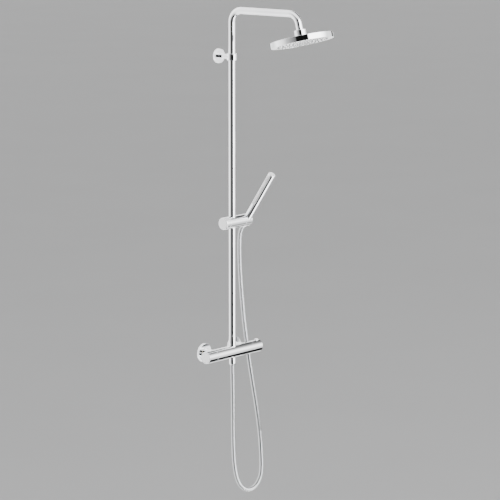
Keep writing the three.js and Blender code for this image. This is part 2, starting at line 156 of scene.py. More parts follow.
# ---- materials -------------------------------------------------------------------------------------
class Nodes:
    """Small helper that adds shader nodes and joins them."""

    def __init__(self, name):
        self.material = bpy.data.materials.new(name)
        self.material.use_nodes = True
        self.tree = self.material.node_tree
        self.shader = self.tree.nodes["Principled BSDF"]
        self.place = self.tree.nodes.new("ShaderNodeTexCoord").outputs["Object"]

    def noise(self, scale, detail=3.0, roughness=0.5, stretch=None):
        place = self.place
        if stretch is not None:
            mapping = self.tree.nodes.new("ShaderNodeMapping")
            mapping.inputs["Scale"].default_value = stretch
            self.tree.links.new(place, mapping.inputs["Vector"])
            place = mapping.outputs["Vector"]
        node = self.tree.nodes.new("ShaderNodeTexNoise")
        node.inputs["Scale"].default_value = scale
        node.inputs["Detail"].default_value = detail
        node.inputs["Roughness"].default_value = roughness
        self.tree.links.new(place, node.inputs["Vector"])
        return node.outputs["Fac"]

    def spots(self, scale):
        node = self.tree.nodes.new("ShaderNodeTexVoronoi")
        node.inputs["Scale"].default_value = scale
        self.tree.links.new(self.place, node.inputs["Vector"])
        return node.outputs["Distance"]

    def attribute(self, name):
        node = self.tree.nodes.new("ShaderNodeAttribute")
        node.attribute_name = name
        return node.outputs["Fac"]

    def ramp(self, factor, low, high, start=0.35, stop=0.65):
        """A colour that runs from low to high as the factor goes from start to stop."""
        node = self.tree.nodes.new("ShaderNodeValToRGB")
        ends = node.color_ramp.elements
        ends[0].position, ends[1].position = start, stop
        ends[0].color = (*low, 1)
        ends[1].color = (*high, 1)
        self.tree.links.new(factor, node.inputs["Fac"])
        return node.outputs["Color"]

    def between(self, factor, low, high, start=0.3, stop=0.7):
        node = self.tree.nodes.new("ShaderNodeMapRange")
        for key, value in zip(("From Min", "From Max", "To Min", "To Max"), (start, stop, low, high)):
            node.inputs[key].default_value = value
        self.tree.links.new(factor, node.inputs["Value"])
        return node.outputs["Result"]

    def product(self, first, second):
        node = self.tree.nodes.new("ShaderNodeMath")
        node.operation = "MULTIPLY"
        self.tree.links.new(first, node.inputs[0])
        self.tree.links.new(second, node.inputs[1])
        return node.outputs["Value"]

    def bump(self, height, strength, distance):
        node = self.tree.nodes.new("ShaderNodeBump")
        node.inputs["Strength"].default_value = strength
        node.inputs["Distance"].default_value = distance
        self.tree.links.new(height, node.inputs["Height"])
        self.tree.links.new(node.outputs["Normal"], self.shader.inputs["Normal"])

    def drive(self, socket, value):
        self.tree.links.new(value, self.shader.inputs[socket])

    def fix(self, **values):
        for key, value in values.items():
            self.shader.inputs[key.replace("_", " ")].default_value = value


def polished_chrome(name, low_rough=0.025, high_rough=0.07, tone=0.0):
    """Plated chrome: a cool white metal with faint smudges, water marks and hairlines."""
    nodes = Nodes(name)
    nodes.fix(Metallic=1.0)
    cloud = nodes.noise(9, detail=4)
    nodes.drive("Base Color", nodes.ramp(
        cloud, (0.80 + tone, 0.81 + tone, 0.825 + tone), (0.90 + tone, 0.905 + tone, 0.915 + tone)))
    hairs = nodes.noise(60, detail=6, roughness=0.7, stretch=(1, 1, 6))
    nodes.drive("Roughness", nodes.between(hairs, low_rough, high_rough))
    nodes.bump(nodes.product(nodes.spots(240), cloud), 0.012, 0.0004)
    return nodes.material


def satin_chrome(name):
    """The spray face: plated, then brushed so that it scatters more."""
    nodes = Nodes(name)
    nodes.fix(Metallic=1.0)
    grain = nodes.noise(420, detail=5, roughness=0.65)
    nodes.drive("Base Color", nodes.ramp(nodes.noise(14), (0.66, 0.67, 0.68), (0.78, 0.785, 0.79)))
    nodes.drive("Roughness", nodes.between(grain, 0.22, 0.36))
    nodes.bump(grain, 0.06, 0.0003)
    return nodes.material


def brushed_chrome(name):
    """The flat ends of the bar, the knob and the hand shower: plated, with a fine brushed grain."""
    nodes = Nodes(name)
    grain = nodes.noise(300, detail=5, roughness=0.65)
    nodes.drive("Base Color", nodes.ramp(nodes.noise(14), (0.84, 0.845, 0.85), (0.90, 0.905, 0.91)))
    nodes.drive("Roughness", nodes.between(grain, 0.16, 0.26))
    nodes.fix(Metallic=0.6)
    nodes.bump(grain, 0.04, 0.0003)
    return nodes.material


def sheath_metal_groove_shade(name):
    """The hose's spiral sheath: bright on its crests and rougher down in the grooves, where its colour is
    darkened almost to black as painted shade.
    """
    nodes = Nodes(name)
    nodes.fix(Metallic=1.0)
    crest = nodes.attribute("crest")
    # Painted shade: the crest value takes the colour from light grey on the crests to near black in the
    # grooves.
    nodes.drive("Base Color", nodes.ramp(crest, (0.10, 0.102, 0.106), (0.62, 0.63, 0.64), 0.2, 0.85))
    nodes.drive("Roughness", nodes.between(crest, 0.42, 0.17, 0.1, 0.9))
    nodes.bump(nodes.noise(900, detail=4), 0.05, 0.0002)
    return nodes.material


def plain_metal(name, low, high, low_rough, high_rough):
    nodes = Nodes(name)
    nodes.fix(Metallic=1.0)
    nodes.drive("Base Color", nodes.ramp(nodes.noise(30, detail=4), low, high))
    turned = nodes.noise(220, detail=5, roughness=0.6, stretch=(1, 1, 4))
    nodes.drive("Roughness", nodes.between(turned, low_rough, high_rough))
    nodes.bump(turned, 0.08, 0.0002)
    return nodes.material


def moulded(name, low, high, low_rough, high_rough, grain=500.0, strength=0.08):
    nodes = Nodes(name)
    nodes.drive("Base Color", nodes.ramp(nodes.noise(24, detail=4), low, high))
    texture = nodes.noise(grain, detail=4)
    nodes.drive("Roughness", nodes.between(texture, low_rough, high_rough))
    nodes.bump(texture, strength, 0.0003)
    return nodes.material


CHROME = polished_chrome("polished_chrome")
PIPE_CHROME = polished_chrome("pipe_chrome", 0.03, 0.06, 0.02)
FACE_CHROME = satin_chrome("spray_face_chrome")
END_CHROME = brushed_chrome("brushed_end_chrome")
SHEATH = sheath_metal_groove_shade("hose_sheath")
BRASS = plain_metal("turned_brass", (0.70, 0.52, 0.25), (0.82, 0.66, 0.36), 0.22, 0.4)
STEEL = plain_metal("stainless_steel", (0.55, 0.56, 0.57), (0.70, 0.71, 0.72), 0.22, 0.38)
COPPER = plain_metal("drawn_copper", (0.62, 0.34, 0.20), (0.76, 0.46, 0.30), 0.2, 0.35)
CERAMIC = moulded("lapped_ceramic", (0.86, 0.85, 0.80), (0.92, 0.91, 0.88), 0.12, 0.22, 300, 0.02)
SILICONE = moulded("nozzle_silicone", (0.42, 0.425, 0.43), (0.50, 0.505, 0.51), 0.38, 0.55)
STRIP_GREY = moulded("spray_strip_grey", (0.82, 0.82, 0.82), (0.90, 0.90, 0.90), 0.26, 0.38)
STRIP_GREY.node_tree.nodes["Principled BSDF"].inputs["Metallic"].default_value = 0.5
PLASTIC = moulded("white_plastic", (0.80, 0.79, 0.76), (0.87, 0.86, 0.83), 0.34, 0.48)
PLUG_GREY = moulded("plug_nylon", (0.38, 0.39, 0.40), (0.48, 0.49, 0.50), 0.42, 0.6)
SLOT_MATERIAL = {
    "chrome": CHROME, "brass": BRASS, "steel": STEEL, "ceramic": CERAMIC,
    "silicone": SILICONE, "plastic": PLASTIC, "hose_metal": SHEATH, "copper": COPPER,
}


def paint_cad_nodes():
    """Each CAD node that still shows, such as a cartridge or spring, gets its slot's material."""
    for row in frame["record"]["subparts"]:
        node = frame["nodes"][row["node"]]
        node.data.materials.clear()
        node.data.materials.append(SLOT_MATERIAL[row["material_slot"]])


paint_cad_nodes()


# ---- mesh making -----------------------------------------------------------------------------------
def place(x, y, z, lean=0.0, axis="z"):
    """A frame at (x, y, z) leaning about X, whose local +Z is turned to the asked axis."""
    turn = Matrix.Identity(4)
    if axis == "x":
        turn = Matrix(((0, 0, 1, 0), (1, 0, 0, 0), (0, 1, 0, 0), (0, 0, 0, 1)))
    if axis == "y":
        turn = Matrix(((0, 1, 0, 0), (0, 0, 1, 0), (1, 0, 0, 0), (0, 0, 0, 1)))
    return Matrix.Translation((x, y, z)) @ Matrix.Rotation(math.radians(lean), 4, "X") @ turn


def rounded(outline):
    """The outline's points, with an arc and two guard points wherever a point gives a fillet radius.

    The guard points lie just off the arc's ends on the straight edges, and keep the shading there flat.
    """
    points = [Vector(point[:2]) for point in outline]
    closed = points[0].y > 0 and points[-1].y > 0
    result = []
    for i, point in enumerate(points):
        fillet = outline[i][2] if len(outline[i]) > 2 else 0
        inner = 0 < i < len(points) - 1
        if not fillet or not (closed or inner):
            result.append(point)
            continue
        before, after = points[i - 1] - point, points[(i + 1) % len(points)] - point
        half = before.angle(after) / 2
        longest = FILLET_EDGE_SHARE * min(before.length, after.length)
        reach = min(fillet / math.tan(half), longest)
        before_end, after_end = before.normalized() * reach, after.normalized() * reach
        centre = (before.normalized() + after.normalized()).normalized() * (reach / math.cos(half))
        radius = (before_end - centre).length
        guard = 1 + min(GUARD_MOST, GUARD_SHARE * fillet) / reach
        result.append(point + before_end * guard)
        for step in range(FILLET_STEPS + 1):
            direction = (before_end - centre).slerp(after_end - centre, step / FILLET_STEPS)
            result.append(point + centre + direction.normalized() * radius)
        result.append(point + after_end * guard)
    return result, closed


def lathe(outline, frame_matrix, sides=LATHE_SIDES):
    """A mesh turned from [place along the axis, radius, fillet] points, in millimetres."""
    profile, closed = rounded(outline)
    mesh = bmesh.new()
    rings = []
    for along, radius in profile:
        count = 1 if radius < 1e-6 else sides
        ring = []
        for i in range(count):
            angle = 2 * math.pi * i / sides
            point = Vector((radius * math.cos(angle), radius * math.sin(angle), along))
            ring.append(mesh.verts.new(frame_matrix @ point))
        rings.append(ring)
    following = rings[1:] + rings[:1] if closed else rings[1:]
    for near, far in zip(rings, following):
        for i in range(sides):
            j = (i + 1) % sides
            face = [near[i % len(near)], near[j % len(near)], far[j % len(far)], far[i % len(far)]]
            face = list(dict.fromkeys(face))
            if len(face) > 2:
                mesh.faces.new(face)
    bmesh.ops.recalc_face_normals(mesh, faces=mesh.faces)
    return mesh


def rod(start, end, radius, frame_matrix, sides=LATHE_SIDES):
    return lathe([(start, 0), (start, radius), (end, radius), (end, 0)], frame_matrix, sides)


def block(low, high, frame_matrix):
    mesh = bmesh.new()
    bmesh.ops.create_cube(mesh, size=1)
    for vert in mesh.verts:
        share = vert.co + Vector((0.5, 0.5, 0.5))
        vert.co = frame_matrix @ Vector([a + (b - a) * s for a, b, s in zip(low, high, share)])
    return mesh


def loose_object(mesh, name="loose"):
    data = bpy.data.meshes.new(name)
    mesh.to_mesh(data)
    mesh.free()
    item = bpy.data.objects.new(name, data)
    bpy.context.scene.collection.objects.link(item)
    return item


def carved(mesh, *cutters):
    """The mesh with each cutter's shape taken out of it."""
    solid = loose_object(mesh)
    tools = [loose_object(cutter) for cutter in cutters]
    for tool in tools:
        modifier = solid.modifiers.new("cut", "BOOLEAN")
        modifier.operation = "DIFFERENCE"
        modifier.solver = "EXACT"
        modifier.object = tool
    graph = bpy.context.evaluated_depsgraph_get()
    result = bmesh.new()
    result.from_mesh(solid.evaluated_get(graph).to_mesh())
    for item in [solid, *tools]:
        bpy.data.objects.remove(item)
    return result


def swept(line, radius, bore, sides=LATHE_SIDES):
    """A pipe along the listed points with flat ends. The radius and the bore are both radii."""
    mesh = bmesh.new()
    points = [Vector(point) for point in line]
    side = Vector((1, 0, 0))
    walls = []
    for size in (radius, bore):
        rings = []
        for i, point in enumerate(points):
            ahead = (points[min(i + 1, len(points) - 1)] - points[max(i - 1, 0)]).normalized()
            up = ahead.cross(side).normalized()
            ring = []
            for k in range(sides):
                angle = 2 * math.pi * k / sides
                ring.append(mesh.verts.new(point + size * (math.cos(angle) * side + math.sin(angle) * up)))
            rings.append(ring)
        walls.append(rings)
    for rings in walls:
        for near, far in zip(rings, rings[1:]):
            for k in range(sides):
                mesh.faces.new((near[k], near[(k + 1) % sides], far[(k + 1) % sides], far[k]))
    for end in (0, -1):
        outer, inner = walls[0][end], walls[1][end]
        for k in range(sides):
            mesh.faces.new((outer[k], outer[(k + 1) % sides], inner[(k + 1) % sides], inner[k]))
    bmesh.ops.recalc_face_normals(mesh, faces=mesh.faces)
    return mesh


def skin(mesh, rings):
    """Joins neighbouring rings of vertices with faces, and closes both ends."""
    sides = len(rings[0])
    for near, far in zip(rings, rings[1:]):
        for k in range(sides):
            j = (k + 1) % sides
            mesh.faces.new((near[k], near[j], far[j], far[k]))
    mesh.faces.new(rings[0])
    mesh.faces.new(rings[-1])
    bmesh.ops.recalc_face_normals(mesh, faces=mesh.faces)
    return mesh


def piece(name, mesh, body, material, nodes=()):
    """Finishes a mesh as a named piece that rides on a body and stands for CAD nodes."""
    bmesh.ops.scale(mesh, vec=(MM, MM, MM), verts=mesh.verts)
    item = loose_object(mesh, name)
    item.data.polygons.foreach_set("use_smooth", [True] * len(item.data.polygons))
    item.data.set_sharp_from_angle(angle=SHARP)
    item.data.materials.append(material)
    if body:
        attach(item, body)
    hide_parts(*nodes)
    return item


END_FACING = 0.93  # cosine of the widest angle at which a face still counts as part of a flat end


def brush_end(item, towards):
    """Gives the brushed finish to the faces that look the given way."""
    item.data.materials.append(END_CHROME)
    for polygon in item.data.polygons:
        if polygon.normal.dot(towards) > END_FACING:
            polygon.material_index = 1


def mirrored(outline, side):
    """The outline with its places along the axis times side, which is 1 or -1."""
    return [(side * point[0], *point[1:]) for point in outline]


# ---- the hose --------------------------------------------------------------------------------------
# The centreline, with the same points as in the CAD source: out of the hand shower's nut, down behind
# the bar, round a free loop and up into the nut under the bar.
HOSE_ROUTE = [
    (67.5, -49.5, 412.7), (67.5, -46.7, 408.6), (67.5, -40.0, 395.2), (67.6, -36.6, 379.5),
    (67.9, -34.8, 352), (70.7, -32.9, 296), (75.5, -31.9, 246), (81.5, -31.0, 194), (88.5, -30.3, 141),
    (96.5, -29.7, 88), (106, -29.3, 36), (115.8, -29.2, -16), (125.2, -29.6, -66), (134.8, -31.4, -118),
    (142.8, -35.2, -170), (148.4, -40.8, -222), (151, -47.8, -274), (150.8, -54.8, -322),
    (149.2, -60.5, -374), (146.4, -64.5, -421), (139.4, -66.8, -451), (120.3, -69, -475.6),
    (92.6, -70.6, -487.8), (62.2, -71.4, -485.6), (35.8, -71.2, -469.6), (17.6, -70.4, -444),
    (7.6, -69, -412), (3.0, -67, -374), (1.8, -65, -328), (2.2, -63.5, -266), (2.8, -62.5, -200),
    (2.4, -62, -140), (1.0, -62, -90), (0, -62, -58), (0, -62, -44.6),
]
HOSE_PITCH = 2.9
GROOVE_DEPTH = 0.75
CREST_WIDTH = 2.2
RINGS_PER_TURN = 6
HOSE_SIDES = 22
NECK_Z = 315.0
TIP_LOW, TIP_HIGH = -28.3, -19.5
TIP_PITCH = 0.55
TIP_RINGS = 97
hand_frame = place(HOLDER_X, HOLDER_Y, SLIDER_Z, HAND_LEAN)


def smooth_route(points, per_span=24):
    """Centripetal Catmull-Rom through the points, as dense samples."""
    points = [np.array(point, float) for point in points]
    ghosts = [2 * points[0] - points[1], *points, 2 * points[-1] - points[-2]]
    samples = []
    for before, start, end, after in zip(ghosts, ghosts[1:], ghosts[2:], ghosts[3:]):
        spans = ((before, start), (start, end), (end, after))
        d0, d1, d2 = (np.linalg.norm(b - a) ** 0.5 for a, b in spans)
        leave = ((start - before) / d0 - (end - before) / (d0 + d1) + (end - start) / d1) * d1
        arrive = ((end - start) / d1 - (after - start) / (d1 + d2) + (after - end) / d2) * d1
        for step in range(per_span):
            t = step / per_span
            samples.append(
                (2 * t**3 - 3 * t**2 + 1) * start + (t**3 - 2 * t**2 + t) * leave
                + (3 * t**2 - 2 * t**3) * end + (t**3 - t**2) * arrive
            )
    samples.append(points[-1])
    return np.array(samples)


def evenly(line, step):
    """The line again with even steps, and each new point's distance along it."""
    along = np.concatenate([[0], np.cumsum(np.linalg.norm(np.diff(line, axis=0), axis=1))])
    at = np.linspace(0, along[-1], int(along[-1] / step) + 1)
    return np.stack([np.interp(at, along, line[:, k]) for k in range(3)], axis=1), at


def sheath(line, at, pitch, name):
    """A tube with a helical groove. The mesh keeps how near each vertex is to a crest, which its material
    uses to paint shade into the grooves.
    """
    ahead = np.gradient(line, axis=0)
    ahead /= np.linalg.norm(ahead, axis=1)[:, None]
    side = np.array((0.0, 1.0, 0.0))
    mesh = bmesh.new()
    crest_layer = mesh.verts.layers.float.new("crest")
    rings = []
    for point, direction, distance in zip(line, ahead, at):
        side = side - direction * side.dot(direction)
        side /= np.linalg.norm(side)
        up = np.cross(direction, side)
        ring = []
        for k in range(HOSE_SIDES):
            turn = k / HOSE_SIDES
            wave = 0.5 - 0.5 * math.cos(2 * math.pi * (distance / pitch - turn))
            crest = 1 - (1 - wave) ** CREST_WIDTH
            radius = HOSE_R - GROOVE_DEPTH * (1 - crest)
            angle = 2 * math.pi * turn
            spot = point + radius * (math.cos(angle) * side + math.sin(angle) * up)
            vert = mesh.verts.new(Vector(spot))
            vert[crest_layer] = crest
            ring.append(vert)
        rings.append(ring)
    return piece(name, skin(mesh, rings), None, SHEATH)


def make_hose():
    line, at = evenly(smooth_route(HOSE_ROUTE[::-1]), HOSE_PITCH / RINGS_PER_TURN)
    length = at[-1]
    top = int(np.argmax((line[:, 2] > NECK_Z) & (at > length / 2)))
    hose = sheath(line[: top + 1], at[: top + 1], HOSE_PITCH, "shower_hose_sheath")
    neck = sheath(line[top:], at[top:], HOSE_PITCH, "hose_neck")
    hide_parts("shower_hose")

    # Inside the upper nut lies a tightly wound length of the sheath.
    tip_steps = np.linspace(TIP_LOW, TIP_HIGH, TIP_RINGS)
    tip_line = np.array([hand_frame @ Vector((0, 0, s)) for s in tip_steps])
    tip = sheath(tip_line, tip_steps, TIP_PITCH, "hose_tip")
    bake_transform(hose)
    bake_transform(neck)
    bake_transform(tip)


make_hose()


# ---- wall side: inlets -----------------------------------------------------------------------------
def threaded(start, end, pitch, crest, root):
    """Points of a thread's saw outline, from start to end along the axis."""
    points = []
    direction = 1 if end > start else -1
    for i in range(int(abs(end - start) / pitch)):
        along = start + direction * pitch * i
        rise, fall = along + direction * 0.4 * pitch, along + direction * 0.6 * pitch
        points += [(along, root), (rise, crest), (fall, crest)]
    points.append((end, root))
    return points


def make_inlet(side, name):
    at = place(side * INLET_X, 0, 0, axis="y")
    union = [
        (-18, 7), (-18, 13, 0.4), (-6, 13), (-6, 14.5, 0.3), (-1, 14.5, 0.3), (-1, 9.6),
        *threaded(0.4, 16.6, 1.814, 10.4, 9.4), (17.4, 9.0), (18, 8.6), (18, 7),
    ]
    piece(f"supply_union_{name}", lathe(union, at), "root", BRASS, [f"wall_union_{name}"])
    rosette = [(0, 29.4), (0, INLET_R, 0.3), (-8, INLET_R, 1.0), (-8, 14, 0.4), (-6.8, 14), (-6.8, 29.4)]
    piece(f"cover_rosette_{name}", lathe(rosette, at), "root", CHROME, [f"inlet_rosette_{name}"])
    nut = [
        (-9, 13.4), (-9, 15.5, 0.7), (-33.6, 15.5, 0.25), (-33.9, 15.1, 0.1), (-34.3, 15.1, 0.1),
        (-34.6, 15.5, 0.25), (-38.4, 15.5, 0.9), (-38.4, 11.3), (-24.3, 11.3), (-24.3, 13.4),
    ]
    piece(f"union_nut_{name}", lathe(nut, at), "root", CHROME, [f"inlet_nut_{name}"])
    tail = [(-18.4, 7.5), (-18.4, 12.9), (-24, 12.9), (-24, 11), (-46.2, 11), (-46.2, 7.5)]
    piece(f"mixer_tail_{name}", lathe(tail, at), "root", CHROME, [f"inlet_tail_{name}"])


make_inlet(-1, "left")
make_inlet(1, "right")


# ---- the bar ---------------------------------------------------------------------------------------
def make_bar():
    at = place(0, AXIS_Y, 0, axis="x")
    body = [
        (-BODY_HALF, 15.7), (-BODY_HALF, BAR_R, 0.5), (BODY_HALF, BAR_R, 0.5), (BODY_HALF, 15.7),
        (80, 15.7), (80, 14.1), (-80, 14.1), (-80, 15.7),
    ]
    piece("mixer_bar", lathe(body, at, BAR_SIDES), "root", CHROME, ["mixer_body"])
    handle = [
        (90.4, 17.5), (90.4, BAR_R, 0.5), (BAR_HALF, BAR_R, 1.3), (BAR_HALF, 18.5, 0.25), (130.2, 18.5),
        (130.2, 5), (124, 5), (124, 2.6), (110, 2.6), (110, 4.1), (97, 4.1), (97, 7.5),
        (110, 7.5), (110, 17.5),
    ]
    cap = [(130.5, 0), (130.5, 18.2), (BAR_HALF - 0.15, 18.2, 0.5), (BAR_HALF - 0.15, 0)]
    up = place(BUTTON_X, AXIS_Y, 0)
    for side, purpose in ((1, "temperature"), (-1, "diverter")):
        shape = lathe(mirrored(handle, side), at, BAR_SIDES)
        if side > 0:
            shape = carved(shape, rod(6, 30, 5.8, up))
        body_name = f"{purpose}_handle"
        piece(f"{purpose}_grip", shape, body_name, CHROME, [f"{purpose}_handle"])
        end = lathe(mirrored(cap, side), at)
        disc = piece(f"{purpose}_end_disc", end, body_name, CHROME, [f"{purpose}_cap"])
        brush_end(disc, Vector((side, 0, 0)))
    button = [(12, 0), (12, 5.5), (23.8, 5.5, 0.9), (23.8, 0)]
    piece("safety_stop_button", lathe(button, up, 64), "safety_button", CHROME, ["safety_button"])


SPRING_WIRE_R = 0.4
SPRING_TURNS = 3
SPRING_RINGS_PER_TURN = 32
SPRING_SIDES = 10


def make_safety_spring():
    """A fine coil under the stop button, as tall as the spring in the CAD frame."""
    low, high = corners_mm("safety_button_spring")
    coil_r = (high.x - low.x) / 2 - SPRING_WIRE_R
    rise = high.z - low.z - 2 * SPRING_WIRE_R
    mesh = bmesh.new()
    rings = []
    for share in np.linspace(0, 1, SPRING_RINGS_PER_TURN * SPRING_TURNS + 1):
        turn = 2 * math.pi * SPRING_TURNS * share
        outward = Vector((math.cos(turn), math.sin(turn), 0))
        centre = Vector((BUTTON_X, AXIS_Y, low.z + SPRING_WIRE_R + rise * share)) + coil_r * outward
        ring = []
        for angle in np.arange(SPRING_SIDES) * 2 * math.pi / SPRING_SIDES:
            around_wire = math.cos(angle) * outward + Vector((0, 0, math.sin(angle)))
            ring.append(mesh.verts.new(centre + SPRING_WIRE_R * around_wire))
        rings.append(ring)
    coil = skin(mesh, rings)
    stands_for = ["safety_button_spring"]
    spring = piece("safety_stop_spring", coil, "temperature_handle", STEEL, stands_for)
    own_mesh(spring)


def make_outlet():
    at = place(0, AXIS_Y, 0)
    nut = [
        (-18.6, 8.8), (-18.6, 10.5), (-23.4, 10.5, 0.2), (-23.7, 10.1, 0.1), (-24.1, 10.1, 0.1),
        (-24.4, 10.5, 0.2), (-40, 10.5, 1.2), (-44.3, 8.5, 0.7), (-44.3, 7.3), (-34, 7.3), (-34, 8.8),
    ]
    piece("lower_hose_nut", lathe(nut, at, 96), "root", CHROME, ["hose_nut_lower"])


make_bar()
make_safety_spring()
make_outlet()


# ---- riser and arm ---------------------------------------------------------------------------------
PIPE_BORE = 9.65


def arm_line():
    """The arm's centreline, from the joint in the bracket's collar to the union nut."""
    points = [(0, AXIS_Y, z) for z in np.linspace(BRACKET_Z + 0.2, ARM_Z - BEND_R, 12)]
    for turn in np.linspace(0, math.pi / 2, 33)[1:]:
        points.append((0, AXIS_Y - BEND_R * (1 - math.cos(turn)), ARM_Z - BEND_R * (1 - math.sin(turn))))
    for y in np.linspace(AXIS_Y - BEND_R, AXIS_Y - ARM_REACH, 18)[1:]:
        points.append((0, y, ARM_Z))
    for turn in np.linspace(0, ARM_DROP, 29)[1:]:
        y = AXIS_Y - ARM_REACH - BEND_R * math.sin(turn)
        points.append((0, y, ARM_Z - BEND_R * (1 - math.cos(turn))))
    lean = Vector((0, -math.cos(ARM_DROP), -math.sin(ARM_DROP)))
    bend_end = Vector(points[-1])
    for share in (0.25, 0.5, 0.75, 1.0):
        points.append(tuple(bend_end + lean * (HEAD_NUT_TOP * share)))
    nut_top = Vector(points[-1])
    points.append(tuple(nut_top + lean * 1.9))
    return points, nut_top


arm_points, nut_top = arm_line()


def make_riser():
    at = place(0, AXIS_Y, 0)
    socket_r = PIPE_R + 0.3
    connector = [
        (16, 8), (16, socket_r), (CONNECTOR_TOP, socket_r, 0.35), (CONNECTOR_TOP, 9.4), (78, 9.4),
        (78, 5.5), (16, 5.5),
    ]
    piece("riser_socket", lathe(connector, at), "root", CHROME, ["riser_connector"])
    low, high = riser_low.z, riser_high.z
    pipe = [(low, PIPE_BORE), (low, PIPE_R, 0.3)]
    pipe += [(low + (high - low) * share, PIPE_R) for share in np.linspace(0.05, 0.95, 10)]
    pipe += [(high, PIPE_R), (high, PIPE_BORE)]
    piece("riser_tube", lathe(pipe, at), "root", PIPE_CHROME, ["riser_pipe"])
    arm = swept(arm_points, PIPE_R, PIPE_BORE)
    piece("arched_arm", arm, "root", PIPE_CHROME, ["shower_arm"])


def make_bracket():
    back = place(0, 0, BRACKET_Z, axis="y")
    cover = [(0, 21.5), (0, COVER_R, 0.3), (-11, COVER_R, 0.9), (-11, 8.4, 0.3), (-9.5, 8.4), (-9.5, 21.5)]
    piece("bracket_cover", lathe(cover, back), "root", CHROME, ["bracket_rosette"])
    stem = [(-17, 0), (-17, 6.3), (-4.4, 6.3), (-4.4, 8), (-52, 8), (-52, 0)]
    piece("bracket_stem", lathe(stem, back, 80), "root", CHROME, ["bracket_rod"])
    plug = [(23.5, 0), (23.5, 2.6), (0.5, 2.6), (0.5, 3.9, 0.2), (1.6, 3.9), (1.6, 3.2)]
    for start in np.arange(3.5, 21, 4.0):
        plug += [(start, 3.1), (start + 0.6, 3.5), (start + 3.0, 3.5), (start + 3.4, 3.1)]
    plug += [(25, 2.4, 0.4), (25, 0)]
    piece("ribbed_wall_plug", lathe(plug, back, 48), "root", PLUG_GREY, ["wall_plug"])
    at = place(0, AXIS_Y, BRACKET_Z)
    collar = [(-11, 12.9), (-11, COLLAR_R, 0.8), (11, COLLAR_R, 0.8), (11, 12.9)]
    piece("riser_collar", lathe(collar, at), "root", CHROME, ["bracket_collar"])


make_riser()
make_bracket()


# ---- overhead shower -------------------------------------------------------------------------------
NOZZLE_PITCH = 16.0
NOZZLE_RINGS = 5


def nozzle_places():
    """The nozzles across the face: one in the middle and six more in every ring outwards."""
    for k in range(NOZZLE_RINGS + 1):
        count = max(1, 6 * k)
        for i in range(count):
            angle = 2 * math.pi * i / count
            yield k * NOZZLE_PITCH * math.cos(angle), k * NOZZLE_PITCH * math.sin(angle)


def joined(*meshes):
    """Several meshes as one, without merging them."""
    whole = bmesh.new()
    for mesh in meshes:
        data = bpy.data.meshes.new("part")
        mesh.to_mesh(data)
        mesh.free()
        whole.from_mesh(data)
        bpy.data.meshes.remove(data)
    return whole


head_frame = place(0, nut_top.y, nut_top.z, math.degrees(ARM_DROP) - 90)


def make_ball_nut():
    ball_s, cup_r = 16.5, 13.4
    cup = [(s, math.sqrt(cup_r**2 - (s - ball_s) ** 2)) for s in np.linspace(17, 7.2, 8)]
    nut = [
        (0, 15.2, 0.3), (0, 19.5, 0.8), (21.6, 19.5, 0.2), (21.9, 19.1, 0.1), (22.3, 19.1, 0.1),
        (22.6, 19.5, 0.2), (24.7, 19.5, 0.4), (24.7, 17.2), (17, 17.2), *cup, (5.6, 9.6), (4.8, 15.2),
    ]
    mesh = lathe(mirrored(nut, -1), head_frame)
    piece("ball_union_nut", mesh, "overhead_shower", CHROME, ["head_union_nut"])


def make_head_shell():
    shell = [
        (17.6, 14.2), (17.6, 16.9), (HEAD_TOP, 16.9), (HEAD_TOP, HEAD_R, 0.6), (HEAD_FACE, HEAD_R, 0.5),
        (HEAD_FACE, HEAD_R - 2.6, 0.5), (41.2, HEAD_R - 2.6), (41.2, HEAD_R - 3.4), (26.6, HEAD_R - 3.4),
        (26.6, 16.9), (33.8, 16.9), (33.8, 14.2),
    ]
    mesh = lathe(mirrored(shell, -1), head_frame, HEAD_SIDES)
    piece("shower_head_shell", mesh, "overhead_shower", CHROME, ["head_shell"])


def make_spray_face():
    """A flat disc with two fine rings turned into it near its edge."""
    back, front, groove_floor = 41.3, 42.5, 42.25
    face = [(back, 0), (back, HEAD_R - 3.0), (front, HEAD_R - 3.0, 0.3)]
    for radius in (HEAD_R - 9.6, HEAD_R - 10.4):
        face += [(front, radius + 0.5), (groove_floor, radius)]
    face += [(front, HEAD_R - 11), (front, 0)]
    mesh = lathe(mirrored(face, -1), head_frame, HEAD_SIDES)
    piece("spray_face", mesh, "overhead_shower", FACE_CHROME, ["spray_plate"])


def make_nozzles():
    """The soft mat behind the face, with a small open tip at every nozzle."""
    mat = lathe(mirrored([(39.2, 6), (41.1, 6), (41.1, 97), (39.2, 97)], -1), head_frame, 96)
    nozzle = mirrored([
        (41.0, 0), (41.0, 2.3), (42.5, 2.3), (42.9, 2.2, 0.3), (44.6, 1.5, 0.3), (44.6, 0.75), (43.4, 0.6),
        (43.4, 0),
    ], -1)
    tips = [lathe(nozzle, head_frame @ Matrix.Translation((x, y, 0)), 14) for x, y in nozzle_places()]
    mesh = joined(mat, *tips)
    piece("spray_nozzles", mesh, "overhead_shower", SILICONE, ["nozzle_mat"])


make_ball_nut()
make_head_shell()
make_spray_face()
make_nozzles()


# ---- slider, knob and holder -----------------------------------------------------------------------
def make_slider():
    at = place(0, AXIS_Y, SLIDER_Z, axis="x")
    up = place(0, AXIS_Y, SLIDER_Z)
    sleeve = carved(
        lathe([(-28, 0), (-28, SLIDER_R, 0.5), (50, SLIDER_R, 0.5), (50, 0)], at, BAR_SIDES),
        rod(-30, 30, 13.5, up), rod(-30, 0, 4.3, at), rod(27, 60, 6.3, at), rod(0, 28, 5.4, at),
    )
    piece("slider_sleeve", sleeve, "slider", CHROME, ["slider_body"])
    outline = [(-46, 0), (-46, SLIDER_R, 2.2), (-28.4, SLIDER_R, 0.5), (-28.4, 4), (-11.5, 4), (-11.5, 0)]
    knob = piece("slider_lock_knob", lathe(outline, at, 128), "slider_knob", CHROME, ["slider_knob"])
    brush_end(knob, Vector((-1, 0, 0)))


